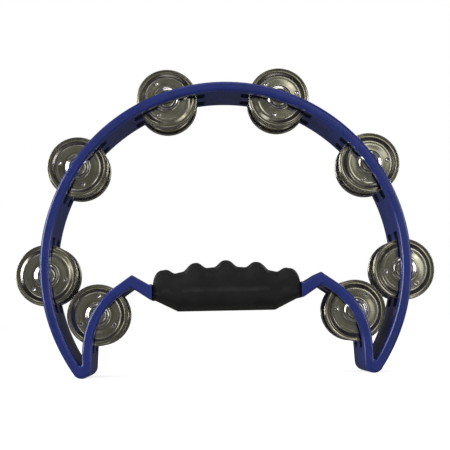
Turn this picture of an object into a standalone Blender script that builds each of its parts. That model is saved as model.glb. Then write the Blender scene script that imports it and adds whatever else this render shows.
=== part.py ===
"""Crescent tambourine with a double row of jingles.

A moulded band runs over the top as one big arc, turns at a rounded tip on each side, climbs back
up as a curved leg, folds at a sharp corner and runs down as a strap to the grip. Its crossbar is
clamped between the two halves of the grip. Eight steel pins lie front to back through the band,
and each carries four cupped discs, two in each of its two slots.

Metres, +Z up, the front rim faces -Y. The origin is midway between the two tips, on the plane
that they stand on. Outlines are worked out in the XZ plane about the centre of the big arc, as 2-D
vectors of x and height, and LIFT is added to a height when it becomes a mesh point.
"""

import math

import bmesh
import bpy
from mathutils import Vector

MM = 0.001

# Band
ARC_RADIUS = 127.0 * MM  # outside of the band: a ten inch tambourine
DEPTH = 48.0 * MM
WALL = 6.8 * MM
RIM_ROUNDING = 1.1 * MM
LEG_MEETS_ARC = math.radians(128.9)  # from the top, where the leg's centre line meets the arc's
TIP_ROUNDING = 6.5 * MM
TIP_INNER_ROUNDING = 0.8 * MM
LEG_FOOT_SLOPE = math.radians(87.0)
LEG_HEAD_SLOPE = math.radians(34.8)
LEG_BEND = 50.0 * MM
CORNER = Vector((64.4 * MM, -10.1 * MM))
CORNER_ROUNDING = 1.2 * MM
STRAP_SLOPE = math.radians(30.5)
STRAP_UNDER_SLOPE = math.radians(33.0)
STRAP_UNDER_DROP = 0.9 * MM  # the strap is thicker than the band by this at the corner

# Crossbar, and the collar that the strap ends in
GRIP_HALF_LENGTH = 50.7 * MM
COLLAR_GAP = 0.3 * MM
COLLAR_LENGTH = 1.8 * MM
COLLAR_LIP = 0.35 * MM
BAR_HEIGHT = -18.5 * MM
BAR_THICKNESS = 6.0 * MM
BAR_HALF_DEPTH = 15.0 * MM

# Jingle stations
STATION_ANGLES = tuple(math.radians(a) for a in (18.57, 55.56, 92.34))  # from the top
LEG_STATION_RISE = 0.4 * MM  # above the middle of the leg's bend, along the leg
ROW_OFFSET = 11.0 * MM
SLOT_WIDTH = 12.0 * MM
SLOT_LENGTH = 54.0 * MM

# Pins
PIN_RADIUS = 1.3 * MM
PIN_HEAD_RADIUS = 1.9 * MM
PIN_HEAD_LENGTH = 1.0 * MM
PIN_CLEARANCE = 0.35 * MM
PIN_BLIND_WALL = 2.2 * MM  # left in front of the pin's blind end
PIN_HEAD_SUNK = 0.2 * MM
PIN_CHAMFER = 0.4 * MM
PIN_SIDES = 12

# Discs
DISC_RADIUS = 21.2 * MM
DISC_HEIGHT = 3.6 * MM
DISC_SHEET = 0.5 * MM
DISC_HOLE_RADIUS = 2.1 * MM
DOME_TOP_RADIUS = 5.0 * MM
DOME_TOP_DROP = 0.2 * MM  # from the hole's edge to the shoulder of the dome
DOME_BASE_RADIUS = 9.6 * MM
DOME_BASE_HEIGHT = 1.5 * MM
DOME_INSIDE_STEP = 0.5 * MM  # how much smaller the dome's base is inside
ROLL_WIDTH = 1.2 * MM  # of the rolled rim
ROLL_HEIGHT = 1.1 * MM
ROLL_ROUNDING = 0.4 * MM
DISC_SIDES = 20
PAIR_HALF_GAP = 1.12 * MM  # from the middle of the slot to each disc's rim, at rest

# Grip
PARTING_GAP = 0.3 * MM
GRIP_HALF_DEPTH = 23.0 * MM
GRIP_END_HALF_DEPTH = 21.0 * MM
GRIP_PLAN_ROUNDING = 7.0 * MM
GRIP_CROWN = 3.9 * MM  # height of the middle ridge over the arc's centre
GRIP_CROWN_FALL = 3.3  # how fast the ridges' tops fall away from the middle, per metre
RIDGE_HEIGHT = 4.6 * MM
RIDGE_HALF_WIDTH = 8.6 * MM
RIDGE_FLATNESS = 1.3  # above 1 the ridge is flat on top and steep at its sides
RIDGE_PITCH = 21.8 * MM
RIDGE_COUNT = 5
SHOULDER_LENGTH = 7.1 * MM
SHOULDER_POWER = 2.4
END_TOP = -14.5 * MM
END_BOTTOM = -23.0 * MM
GRIP_BOTTOM = -31.3 * MM
GRIP_FLAT_HALF_LENGTH = 34.0 * MM
GRIP_WALL = 2.6 * MM
GRIP_SECTION_POWER = 3.2
RIB_POSITIONS = (-17.0 * MM, 17.0 * MM)
RIB_HALF_THICKNESS = 1.2 * MM
BAR_CLEARANCE = 0.35 * MM
RIDGE_SECTIONS = 32
SHOULDER_SECTIONS = 4
ROUNDING_SECTIONS = 3
SKIN_SIDES = 10
POCKET_SECTIONS = 4
POCKET_SIDES = 8

CUT_PAST = 1.0 * MM  # how far a cutter runs out of the piece that it cuts

ARC_STEP = math.radians(5.2)
ONE_PLANE = math.radians(0.2)
TIP_SIDES = 7
CORNER_SIDES = 2
LEG_SIDES = 6

COLLAR_IN = GRIP_HALF_LENGTH + COLLAR_GAP
COLLAR_OUT = COLLAR_IN + COLLAR_LENGTH


def finished(name, colour, roughness, metallic):
    material = bpy.data.materials.new(name)
    material.use_nodes = True
    shader = material.node_tree.nodes["Principled BSDF"]
    shader.inputs["Base Color"].default_value = (*colour, 1.0)
    shader.inputs["Roughness"].default_value = roughness
    shader.inputs["Metallic"].default_value = metallic
    material.diffuse_color = (*colour, 1.0)
    return material


def add_object(name, mesh, material=None, smooth_angle=35.0):
    mesh.materials.clear()
    if material:
        mesh.materials.append(material)
    mesh.shade_smooth()
    mesh.set_sharp_from_angle(angle=math.radians(smooth_angle))
    thing = bpy.data.objects.new(name, mesh)
    bpy.context.collection.objects.link(thing)
    return thing


def cut(thing, cutter):
    cutter.hide_render = True
    cutter.display_type = "WIRE"
    modifier = thing.modifiers.new(cutter.name, "BOOLEAN")
    modifier.operation = "DIFFERENCE"
    modifier.object = cutter
    modifier.solver = "EXACT"


def mesh_from(name, points, faces):
    mesh = bpy.data.meshes.new(name)
    mesh.from_pydata(points, [], faces)
    work = bmesh.new()
    work.from_mesh(mesh)
    bmesh.ops.recalc_face_normals(work, faces=work.faces)
    work.to_mesh(mesh)
    work.free()
    return mesh


def turned(profile, sides):
    """Points on rings about the Y axis, one ring for each (radius, y) of the profile."""
    points, rings = [], []
    for radius, y in profile:
        ring = []
        for i in range(sides):
            angle = math.tau * i / sides
            ring.append(len(points))
            points.append((radius * math.cos(angle), y, radius * math.sin(angle)))
        rings.append(ring)
    return points, rings


def band_between(ring, after):
    """Quads between two rings of equally many points."""
    size = len(ring)
    return [(ring[i], ring[(i + 1) % size], after[(i + 1) % size], after[i]) for i in range(size)]


def turned_tube(name, profile, sides):
    """A turned piece with a hole: the profile is a closed loop."""
    points, rings = turned(profile, sides)
    faces = []
    for ring, after in zip(rings, rings[1:] + rings[:1]):
        faces += band_between(ring, after)
    return mesh_from(name, points, faces)


def tube_faces(rings):
    """The skin through a row of rings, closed with a flat face at each end."""
    faces = [tuple(rings[0]), tuple(reversed(rings[-1]))]
    for ring, after in zip(rings, rings[1:]):
        faces += band_between(ring, after)
    return faces


def turned_rod(name, profile, sides):
    """A turned solid piece: the profile runs from one flat end to the other."""
    points, rings = turned(profile, sides)
    return mesh_from(name, points, tube_faces(rings))


# The band's outline, right half


def along(angle):
    return Vector((math.cos(angle), math.sin(angle)))


def arc_points(centre, radius, start, end, count):
    return [centre + radius * along(start + (end - start) * i / count) for i in range(count + 1)]


def meet(point_a, way_a, point_b, way_b):
    """Where two lines cross."""
    cross = way_a.x * way_b.y - way_a.y * way_b.x
    gap = point_b - point_a
    return point_a + way_a * ((gap.x * way_b.y - gap.y * way_b.x) / cross)


LEG_FOOT_WAY = Vector((math.cos(LEG_FOOT_SLOPE), -math.sin(LEG_FOOT_SLOPE)))  # down to the tip
LEG_HEAD_WAY = Vector((math.cos(LEG_HEAD_SLOPE), -math.sin(LEG_HEAD_SLOPE)))  # down from the corner
ARC_MIDDLE = ARC_RADIUS - WALL / 2
TIP_CROSSING = ARC_MIDDLE * Vector((math.sin(LEG_MEETS_ARC), math.cos(LEG_MEETS_ARC)))


def up_side(way):
    """The normal of a line on its upper side, which for the leg is the side that faces the arc."""
    normal = Vector((-way.y, way.x))
    return normal if normal.y > 0 else -normal


def leg_bend(inward):
    """Centre and radius of the leg's bend, for an outline this far inside the loop of the band."""
    head = CORNER + up_side(LEG_HEAD_WAY) * inward
    foot = TIP_CROSSING + up_side(LEG_FOOT_WAY) * inward
    crossing = meet(head, LEG_HEAD_WAY, foot, LEG_FOOT_WAY)
    radius = LEG_BEND + inward
    tangent = radius * math.tan((LEG_FOOT_SLOPE - LEG_HEAD_SLOPE) / 2)
    return crossing - LEG_HEAD_WAY * tangent - up_side(LEG_HEAD_WAY) * radius, radius


def tip_fillet(inward, rounding):
    """Centre of the circle that rounds the tip, and the polar angle where it meets the arc."""
    arc = ARC_MIDDLE - inward
    foot = TIP_CROSSING + up_side(LEG_FOOT_WAY) * (inward + rounding)
    along_foot = foot.dot(LEG_FOOT_WAY)
    reach = math.sqrt(along_foot**2 - foot.length_squared + (arc - rounding) ** 2)
    centre = foot + LEG_FOOT_WAY * (reach - along_foot)
    return centre, math.atan2(centre.x, centre.y)


def strap_side(inward):
    """A point, the direction and the slope of the strap's top or, outside the loop, its underside."""
    slope = STRAP_SLOPE if inward > 0 else STRAP_UNDER_SLOPE
    drop = 0.0 if inward > 0 else STRAP_UNDER_DROP
    way = along(slope)
    return CORNER + up_side(way) * (inward - drop), way, slope


def corner_fillet(inward):
    """Centre of the fold between the leg and the strap."""
    point, way, slope = strap_side(inward)
    vertex = meet(CORNER + up_side(LEG_HEAD_WAY) * inward, LEG_HEAD_WAY, point, way)
    tangent = CORNER_ROUNDING * math.tan((LEG_HEAD_SLOPE + slope) / 2)
    return vertex + LEG_HEAD_WAY * tangent - up_side(LEG_HEAD_WAY) * CORNER_ROUNDING


def half_outline(inward, tip_rounding):
    """Outline points from the top of the arc to the strap's end, each tagged with its slot."""
    arc = ARC_MIDDLE - inward
    half_slot = SLOT_LENGTH / 2 / ARC_MIDDLE
    tip, tip_angle = tip_fillet(inward, tip_rounding)
    marks = [0.0]
    for angle in STATION_ANGLES:
        marks += [angle - half_slot, angle + half_slot]
    marks.append(tip_angle)
    outline, slots = [], []
    for k, (start, end) in enumerate(zip(marks, marks[1:])):
        count = max(1, math.ceil((end - start) / ARC_STEP - 0.25))
        run = arc_points(Vector((0, 0)), arc, math.pi / 2 - start, math.pi / 2 - end, count)
        outline += run[:-1]
        slots += [k % 2 == 1] * count
    first, last = math.pi / 2 - tip_angle, -math.pi / 2 - LEG_FOOT_SLOPE
    outline += arc_points(tip, tip_rounding, first, last, TIP_SIDES)
    slots += [False] * (TIP_SIDES + 1)
    centre, radius = leg_bend(inward)
    for point, slotted in leg_run(centre, radius, inward):
        outline.append(point)
        slots.append(slotted)
    point, way, slope = strap_side(inward)
    start, end = math.pi / 2 - LEG_HEAD_SLOPE, math.pi / 2 + slope
    outline += arc_points(corner_fillet(inward), CORNER_ROUNDING, start, end, CORNER_SIDES)
    outline.append(point + way * ((COLLAR_OUT - point.x) / way.x))
    slots += [False] * (CORNER_SIDES + 2)
    return outline, slots


def leg_run(centre, radius, inward):
    """The leg's points from foot to head, with its slot's two ends among them."""
    middle = leg_station_angle()
    foot_angle = math.pi / 2 - LEG_FOOT_SLOPE
    head_angle = math.pi / 2 - LEG_HEAD_SLOPE
    below = SLOT_LENGTH / 2 - (middle - foot_angle) * LEG_BEND
    above = SLOT_LENGTH / 2 - (head_angle - middle) * LEG_BEND
    foot = centre + radius * along(foot_angle)
    head = centre + radius * along(head_angle)
    run = [(foot + LEG_FOOT_WAY * below, True)]
    run += [(point, True) for point in arc_points(centre, radius, foot_angle, head_angle, LEG_SIDES)]
    run.append((head - LEG_HEAD_WAY * above, False))
    return run


def leg_station_angle():
    """Direction of the leg's jingle station from the centre of the leg's bend."""
    middle = math.pi / 2 - (LEG_FOOT_SLOPE + LEG_HEAD_SLOPE) / 2
    return middle + LEG_STATION_RISE / LEG_BEND


def stand_height():
    """How far the centre of the big arc is above the plane that the tips stand on."""
    tip, _ = tip_fillet(-WALL / 2, TIP_ROUNDING)
    return TIP_ROUNDING - tip.y


LIFT = stand_height()


def stations():
    """(x, z) of each pin on the right side, from the top down, about the arc's centre."""
    places = [ARC_MIDDLE * Vector((math.sin(a), math.cos(a))) for a in STATION_ANGLES]
    centre, _ = leg_bend(0.0)
    places.append(centre + LEG_BEND * along(leg_station_angle()))
    return places


# Frame

# Sides of a section that a slot opens through, outside and inside. Points i and
# OPPOSITE_SUM - i of a section face each other through the band.
OUTER_SLOT_SIDES = (1, 3)
INNER_SLOT_SIDES = (11, 13)
OPPOSITE_SUM = 15


def section(outer, inner, half_depth, rounding):
    """Ring of points round the band where its outline passes outer and inner."""
    across = (inner - outer).normalized()
    flat = half_depth - rounding
    slot_low, slot_high = ROW_OFFSET - SLOT_WIDTH / 2, ROW_OFFSET + SLOT_WIDTH / 2
    scale = min(1.0, flat / (slot_high + rounding))
    levels = [-flat, -slot_high * scale, -slot_low * scale, slot_low * scale, slot_high * scale, flat]
    half_turn = rounding * (1 - math.sqrt(0.5))
    ring = [(outer, y) for y in levels]
    ring.append((outer + across * half_turn, half_depth - half_turn))
    ring.append((outer + across * rounding, half_depth))
    ring.append((inner - across * rounding, half_depth))
    ring.append((inner - across * half_turn, half_depth - half_turn))
    ring += [(inner, y) for y in reversed(levels)]
    ring.append((inner - across * half_turn, half_turn - half_depth))
    ring.append((inner - across * rounding, -half_depth))
    ring.append((outer + across * rounding, -half_depth))
    ring.append((outer + across * half_turn, half_turn - half_depth))
    return ring


def frame_sections():
    """Sections round the whole closed loop, each with whether a slot starts at it."""
    outer, slots = half_outline(-WALL / 2, TIP_ROUNDING)
    inner, _ = half_outline(WALL / 2, TIP_INNER_ROUNDING)
    half = [
        (section(a, b, DEPTH / 2, RIM_ROUNDING), slotted)
        for a, b, slotted in zip(outer, inner, slots)
    ]
    top, bottom = inner[-1].y + COLLAR_LIP, outer[-1].y - COLLAR_LIP
    bar_top, bar_bottom = BAR_HEIGHT + BAR_THICKNESS / 2, BAR_HEIGHT - BAR_THICKNESS / 2
    for x, low, high, half_depth in (
        (COLLAR_OUT - COLLAR_LIP, bottom, top, DEPTH / 2),
        (COLLAR_IN, bottom, top, DEPTH / 2),
        (COLLAR_IN, bar_bottom, bar_top, BAR_HALF_DEPTH),
    ):
        ring = section(Vector((x, low)), Vector((x, high)), half_depth, RIM_ROUNDING)
        half.append((ring, False))
    left = []
    for (ring, _), (_, slotted_below) in zip(half[:0:-1], half[-2::-1]):
        left.append(([(Vector((-p.x, p.y)), y) for p, y in ring], slotted_below))
    return half + left


def make_frame(material):
    loop = frame_sections()
    points, rings = [], []
    for ring, _ in loop:
        rings.append(range(len(points), len(points) + len(ring)))
        points += [(p.x, y, p.y + LIFT) for p, y in ring]
    faces = []
    for k, (_, slotted) in enumerate(loop):
        here, after = rings[k], rings[(k + 1) % len(rings)]
        open_sides = OUTER_SLOT_SIDES + INNER_SLOT_SIDES if slotted else ()
        quads = band_between(here, after)
        faces += [quad for i, quad in enumerate(quads) if i not in open_sides]
        for low in OUTER_SLOT_SIDES:
            high, far_low, far_high = low + 1, OPPOSITE_SUM - low, OPPOSITE_SUM - low - 1
            if slotted:
                faces.append((here[low], after[low], after[far_low], here[far_low]))
                faces.append((here[high], here[far_high], after[far_high], after[high]))
            if slotted != loop[k - 1][1]:
                faces.append((here[low], here[far_low], here[far_high], here[high]))
    frame = add_object("frame", plainer(mesh_from("frame", points, faces)), material)
    cut(frame, pin_bores())
    return frame


def plainer(mesh):
    """Joins the faces that lie in one plane, which the loft leaves split."""
    work = bmesh.new()
    work.from_mesh(mesh)
    bmesh.ops.dissolve_limit(work, angle_limit=ONE_PLANE, verts=work.verts, edges=work.edges)
    work.to_mesh(mesh)
    work.free()
    return mesh


def pin_bores():
    """One cutter for the eight bores, each with a counterbore for the pin's head."""
    bore = PIN_RADIUS + PIN_CLEARANCE
    counterbore = PIN_HEAD_RADIUS + PIN_CLEARANCE
    seat = DEPTH / 2 - PIN_HEAD_SUNK - PIN_HEAD_LENGTH - PIN_CLEARANCE
    past = DEPTH / 2 + CUT_PAST
    blind = -DEPTH / 2 + PIN_BLIND_WALL
    profile = [(bore, blind), (bore, seat), (counterbore, seat), (counterbore, past)]
    one = turned_rod("bore", profile, PIN_SIDES)
    work = bmesh.new()
    for side in (-1, 1):
        for place in stations():
            start = len(work.verts)
            work.from_mesh(one)
            work.verts.ensure_lookup_table()
            shift = Vector((side * place.x, 0, place.y + LIFT))
            bmesh.ops.translate(work, verts=work.verts[start:], vec=shift)
    mesh = bpy.data.meshes.new("pin_bores")
    work.to_mesh(mesh)
    work.free()
    return add_object("pin_bores_cutter", mesh)


# Pins and discs


def make_pin(name, place, mesh, material):
    pin = add_object(name, mesh, material)
    pin.location = (place.x, 0, place.y + LIFT)
    return pin


def pin_mesh():
    tail = -DEPTH / 2 + PIN_BLIND_WALL + PIN_CLEARANCE
    head_end = DEPTH / 2 - PIN_HEAD_SUNK
    neck = head_end - PIN_HEAD_LENGTH
    profile = [
        (PIN_RADIUS - PIN_CHAMFER, tail),
        (PIN_RADIUS, tail + PIN_CHAMFER),
        (PIN_RADIUS, neck),
        (PIN_HEAD_RADIUS, neck),
        (PIN_HEAD_RADIUS, head_end - PIN_CHAMFER),
        (PIN_HEAD_RADIUS - PIN_CHAMFER, head_end),
    ]
    return turned_rod("pin", profile, PIN_SIDES)


def disc_mesh():
    """A cupped disc about the Y axis: its rolled rim ends at y = 0 and its dome rises to -Y."""
    top, base = DISC_HEIGHT, DOME_BASE_HEIGHT
    roll = DISC_RADIUS - ROLL_WIDTH
    outside = [
        (DISC_HOLE_RADIUS, top),
        (DOME_TOP_RADIUS, top - DOME_TOP_DROP),
        (DOME_BASE_RADIUS, base),
        (DISC_RADIUS - ROLL_ROUNDING, ROLL_HEIGHT),
        (DISC_RADIUS, ROLL_HEIGHT - ROLL_ROUNDING),
    ]
    inside = [
        (DISC_RADIUS, 0.0),
        (roll, 0.0),
        (roll, ROLL_HEIGHT - DISC_SHEET),
        (DOME_BASE_RADIUS - DOME_INSIDE_STEP, base - DISC_SHEET),
        (DISC_HOLE_RADIUS, top - DISC_SHEET),
    ]
    profile = [(radius, -height) for radius, height in outside + inside]
    return turned_tube("disc", profile, DISC_SIDES)


def make_discs(pin, pin_name, mesh, material):
    """Four discs on a pin, a to d from front to back; the domes of each pair face apart."""
    letters = iter("abcd")
    for row in (-ROW_OFFSET, ROW_OFFSET):
        for facing in (-1, 1):
            name = pin_name.replace("pin", "jingle") + "_" + next(letters)
            disc = add_object(name, mesh, material)
            disc.parent = pin
            disc.location = (0, row + facing * PAIR_HALF_GAP, 0)
            disc.rotation_euler = (0, 0, 0 if facing < 0 else math.pi)


# Grip


def ridge_line(x):
    """Height of the grip's top: five ridges between four finger grooves, and rounded shoulders."""
    crown = GRIP_CROWN - GRIP_CROWN_FALL * x * x
    last = RIDGE_PITCH * (RIDGE_COUNT - 1) / 2
    if abs(x) > last:
        peak = GRIP_CROWN - GRIP_CROWN_FALL * last * last
        reach = min(1.0, (abs(x) - last) / SHOULDER_LENGTH)
        fall = (1 - reach**SHOULDER_POWER) ** (1 / SHOULDER_POWER)
        return END_TOP + (peak - END_TOP) * fall
    nearest = round(x / RIDGE_PITCH) * RIDGE_PITCH
    away = min(1.0, abs(x - nearest) / RIDGE_HALF_WIDTH)
    return crown - RIDGE_HEIGHT * (1 - math.cos(math.pi * away**RIDGE_FLATNESS)) / 2


def belly_line(x):
    """Height of the grip's underside: flat, with a slope up to each end."""
    reach = max(0.0, abs(x) - GRIP_FLAT_HALF_LENGTH) / (GRIP_HALF_LENGTH - GRIP_FLAT_HALF_LENGTH)
    return GRIP_BOTTOM + (END_BOTTOM - GRIP_BOTTOM) * reach


def half_depth_at(x):
    reach = max(0.0, abs(x) - (GRIP_HALF_LENGTH - GRIP_PLAN_ROUNDING)) / GRIP_PLAN_ROUNDING
    drop = GRIP_HALF_DEPTH - GRIP_END_HALF_DEPTH
    return GRIP_HALF_DEPTH - drop * (1 - math.sqrt(1 - min(1.0, reach) ** 2))


def grip_body(name, places, edge_line, seam, inset, sides):
    """A closed form between the seam's plane and edge_line, lofted through sections at places."""
    points, rings = [], []
    for x in places:
        rise = edge_line(x) - seam
        rise -= math.copysign(inset, rise)
        half_depth = half_depth_at(x) - inset
        ring = []
        for i in range(sides + 1):
            angle = math.pi * i / sides
            c, s = math.cos(angle), math.sin(angle)
            y = half_depth * math.copysign(abs(c) ** (2 / GRIP_SECTION_POWER), c)
            z = seam + rise * abs(s) ** (2 / GRIP_SECTION_POWER)
            ring.append(len(points))
            points.append((x, y, z + LIFT))
        rings.append(ring)
    return mesh_from(name, points, tube_faces(rings))


def box_mesh(name, low, high):
    work = bmesh.new()
    bmesh.ops.create_cube(work, size=1.0)
    size = Vector(high) - Vector(low)
    middle = (Vector(high) + Vector(low)) / 2
    bmesh.ops.scale(work, verts=work.verts, vec=size)
    bmesh.ops.translate(work, verts=work.verts, vec=middle)
    mesh = bpy.data.meshes.new(name)
    work.to_mesh(mesh)
    work.free()
    return mesh


def bar_clearance():
    """The space that the frame's crossbar takes through the grip."""
    x = GRIP_HALF_LENGTH + CUT_PAST
    y = BAR_HALF_DEPTH + BAR_CLEARANCE
    z = BAR_THICKNESS / 2 + BAR_CLEARANCE
    middle = BAR_HEIGHT + LIFT
    mesh = box_mesh("bar_clearance", (-x, -y, middle - z), (x, y, middle + z))
    return add_object("bar_clearance_cutter", mesh)


def evenly(low, high, count):
    return [low + (high - low) * i / count for i in range(count + 1)]


def mirrored(places):
    return [-x for x in reversed(places)]


def upper_places():
    """Sections close enough together for the ridges, and closer on the shoulders."""
    last = RIDGE_PITCH * (RIDGE_COUNT - 1) / 2
    turn = evenly(0.0, math.pi / 2, SHOULDER_SECTIONS)[1:]
    shoulder = [last + SHOULDER_LENGTH * math.sin(angle) for angle in turn]
    return mirrored(shoulder) + evenly(-last, last, RIDGE_SECTIONS) + shoulder


def lower_places():
    """Sections at the flat's two ends, and where the grip's ends round in plan."""
    turn = evenly(0.0, math.pi / 2, ROUNDING_SECTIONS)
    rounding = [GRIP_HALF_LENGTH - GRIP_PLAN_ROUNDING * (1 - math.sin(angle)) for angle in turn]
    right = [GRIP_FLAT_HALF_LENGTH, *rounding]
    return mirrored(right) + right


def pocket_bounds():
    """The hollows of each half, split by the two ribs."""
    end = GRIP_HALF_LENGTH - GRIP_WALL
    edges = [-end]
    for rib in RIB_POSITIONS:
        edges += [rib - RIB_HALF_THICKNESS, rib + RIB_HALF_THICKNESS]
    edges.append(end)
    return list(zip(edges[::2], edges[1::2]))


def pocket_top(x):
    """The upper half's hollow follows the valleys of the grooves, not the ridges."""
    last = RIDGE_PITCH * (RIDGE_COUNT - 1) / 2
    valley = GRIP_CROWN - GRIP_CROWN_FALL * x * x - RIDGE_HEIGHT
    return min(valley, ridge_line(x)) if abs(x) > last else valley


def make_grip_half(name, places, edge_line, pocket_line, seam, over_seam, bar, material):
    body = grip_body(name, places, edge_line, seam, 0.0, SKIN_SIDES)
    half = add_object(name, body, material)
    for k, (low, high) in enumerate(pocket_bounds()):
        pocket_name = f"{name}_pocket_{k + 1}_cutter"
        across = evenly(low, high, POCKET_SECTIONS)
        pocket = grip_body(pocket_name, across, pocket_line, over_seam, GRIP_WALL, POCKET_SIDES)
        cut(half, add_object(pocket_name, pocket))
    cut(half, bar)
    return half


def make_grip(material):
    bar = bar_clearance()
    top, under = BAR_HEIGHT + PARTING_GAP / 2, BAR_HEIGHT - PARTING_GAP / 2
    return (
        make_grip_half(
            "grip_upper", upper_places(), ridge_line, pocket_top, top, top - CUT_PAST, bar, material
        ),
        make_grip_half(
            "grip_lower", lower_places(), belly_line, belly_line, under, under + CUT_PAST, bar, material
        ),
    )


def main():
    for thing in list(bpy.data.objects):
        bpy.data.objects.remove(thing, do_unlink=True)
    blue = finished("blue_plastic", (0.026, 0.040, 0.165), 0.32, 0.0)
    black = finished("black_rubber", (0.016, 0.016, 0.016), 0.6, 0.0)
    nickel = finished("nickel_plate", (0.62, 0.61, 0.55), 0.16, 1.0)
    steel = finished("bright_steel", (0.60, 0.60, 0.60), 0.28, 1.0)
    body = bpy.data.objects.new("tambourine", None)
    bpy.context.collection.objects.link(body)
    make_frame(blue).parent = body
    for half in make_grip(black):
        half.parent = body
    rod, disc = pin_mesh(), disc_mesh()
    for side, way in (("left", -1), ("right", 1)):
        for number, place in enumerate(stations(), start=1):
            name = f"pin_{side}_{number}"
            pin = make_pin(name, Vector((way * place.x, place.y)), rod, steel)
            pin.parent = body
            make_discs(pin, name, disc, nickel)


main()
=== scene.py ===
"""Crescent tambourine: its visible pieces, their finishes, and a plain studio round them.

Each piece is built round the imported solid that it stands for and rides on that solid's body.
Lengths are metres, +Z is up, and the front rim faces -Y.
"""

import math
import random
from contextlib import contextmanager
from itertools import product

import bmesh
import bpy
from bpy.props import FloatProperty, FloatVectorProperty, IntProperty, PointerProperty
from bpy.types import Operator, Panel, PropertyGroup
from mathutils import Matrix, Vector


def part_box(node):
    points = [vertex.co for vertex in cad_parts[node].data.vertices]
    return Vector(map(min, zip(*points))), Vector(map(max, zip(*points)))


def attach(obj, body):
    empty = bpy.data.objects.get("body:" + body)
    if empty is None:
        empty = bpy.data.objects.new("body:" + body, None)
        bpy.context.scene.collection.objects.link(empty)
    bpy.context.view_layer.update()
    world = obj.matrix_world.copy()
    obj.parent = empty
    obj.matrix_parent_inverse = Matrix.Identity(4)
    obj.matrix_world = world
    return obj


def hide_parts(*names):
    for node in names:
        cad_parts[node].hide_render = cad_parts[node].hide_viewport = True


bl_info = {
    "name": "Crescent tambourine",
    "version": (1, 0, 0),
    "blender": (4, 5, 0),
    "location": "3D Viewport > Sidebar > Tambourine",
    "description": "Builds the frame, grip, pins and jingle discs of a crescent tambourine",
    "category": "Add Mesh",
}

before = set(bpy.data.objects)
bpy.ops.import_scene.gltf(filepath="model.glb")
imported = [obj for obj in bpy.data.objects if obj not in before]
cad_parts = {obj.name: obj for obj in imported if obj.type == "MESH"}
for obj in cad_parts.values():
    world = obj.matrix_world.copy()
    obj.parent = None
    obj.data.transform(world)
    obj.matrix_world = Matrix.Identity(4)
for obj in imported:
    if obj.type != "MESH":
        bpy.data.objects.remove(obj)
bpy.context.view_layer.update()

MM = 0.001
ROOT = "frame_and_grip"
FRAME_LOW, FRAME_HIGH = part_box("frame")
GRIP_TOP_LOW, GRIP_TOP_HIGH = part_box("grip_upper")
GRIP_BASE_LOW, GRIP_BASE_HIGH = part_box("grip_lower")
ARC_RADIUS = FRAME_HIGH.x
ARC_HEIGHT = FRAME_HIGH.z - ARC_RADIUS  # of the arc's centre
DEPTH = FRAME_HIGH.y - FRAME_LOW.y
SIDES = ("left", "right")
STATIONS = (1, 2, 3, 4)

# Outline of the band, drawn in the XZ plane about the arc's centre
WALL = 6.8 * MM
LEG_MEETS_ARC = math.radians(128.9)  # from the top, where the leg's centre line meets the arc's
TIP_ROUNDING = 6.5 * MM
TIP_INNER_ROUNDING = 0.8 * MM
LEG_FOOT_SLOPE = math.radians(87.0)
LEG_HEAD_SLOPE = math.radians(34.8)
LEG_BEND = 50.0 * MM
CORNER = Vector((64.4 * MM, -10.1 * MM))
CORNER_ROUNDING = 1.2 * MM
STRAP_SLOPE = math.radians(30.5)
STRAP_UNDER_SLOPE = math.radians(33.0)
STRAP_UNDER_DROP = 0.9 * MM  # the strap is thicker than the band by this at the corner
COLLAR_IN = GRIP_TOP_HIGH.x + 0.3 * MM
COLLAR_OUT = COLLAR_IN + 1.8 * MM
COLLAR_LIP = 0.35 * MM
BAR_HEIGHT = -18.5 * MM
BAR_THICKNESS = 6.0 * MM
BAR_HALF_DEPTH = 15.0 * MM
STATION_ANGLES = tuple(math.radians(a) for a in (18.57, 55.56, 92.34))  # from the top
LEG_STATION_RISE = 0.4 * MM
ROW_OFFSET = 11.0 * MM
SLOT_WIDTH = 12.0 * MM
SLOT_LENGTH = 54.0 * MM

ARC_MIDDLE = ARC_RADIUS - WALL / 2
LEG_FOOT_WAY = Vector((math.cos(LEG_FOOT_SLOPE), -math.sin(LEG_FOOT_SLOPE)))  # down the leg
LEG_HEAD_WAY = Vector((math.cos(LEG_HEAD_SLOPE), -math.sin(LEG_HEAD_SLOPE)))
TIP_CROSSING = ARC_MIDDLE * Vector((math.sin(LEG_MEETS_ARC), math.cos(LEG_MEETS_ARC)))

# Fineness of the meshes
ARC_STEP = math.radians(1.5)
TIP_STEPS = 18
CORNER_STEPS = 4
LEG_STEPS = 22
RIM_STEPS = 5
SLOT_CORNER_STEPS = 4
SLOT_MOUTH_STEPS = 3
GRIP_LENGTH_STEPS = 150
GRIP_SECTION_STEPS = 36
SEAM_STEPS = 3
PIN_STEPS = 32
PIN_HEAD_STEPS = 4
DISC_STEPS = 96
DISC_FRONT_STEPS = 46
DISC_UNDER_STEPS = 20
DIMPLE_CUTS = 3
ROLL_STEPS = 14
SHARP_ANGLE = math.radians(40)  # an edge that turns by more than this shows as an edge
MOUTH_ANGLE = math.radians(60)  # the same for the edges of a slot's mouth
SEAM_ANGLE = math.radians(50)  # and for the edges of the grip's parting line
FLATNESS_WEIGHT = 80
MARGIN = 1.0 * MM  # how far a cutter passes the piece that it cuts

# Pins and their bores
PIN_RADIUS = 1.3 * MM
PIN_HEAD_RADIUS = 1.9 * MM
PIN_HEAD_LENGTH = 1.0 * MM
PIN_CLEARANCE = 0.35 * MM

# Discs
DISC_HOLE = 2.1 * MM
DIMPLE_COUNT = 3
DIMPLE_PLACE = 0.61  # of the disc's radius
DIMPLE_REACH = 2.6  # of a dimple's radius, like the place of its lip
DIMPLE_STEEPNESS = 1.6
LIP_HEIGHT = 0.3  # of the dimple's depth
LIP_PLACE = 1.5
LIP_STEEPNESS = 9

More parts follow.
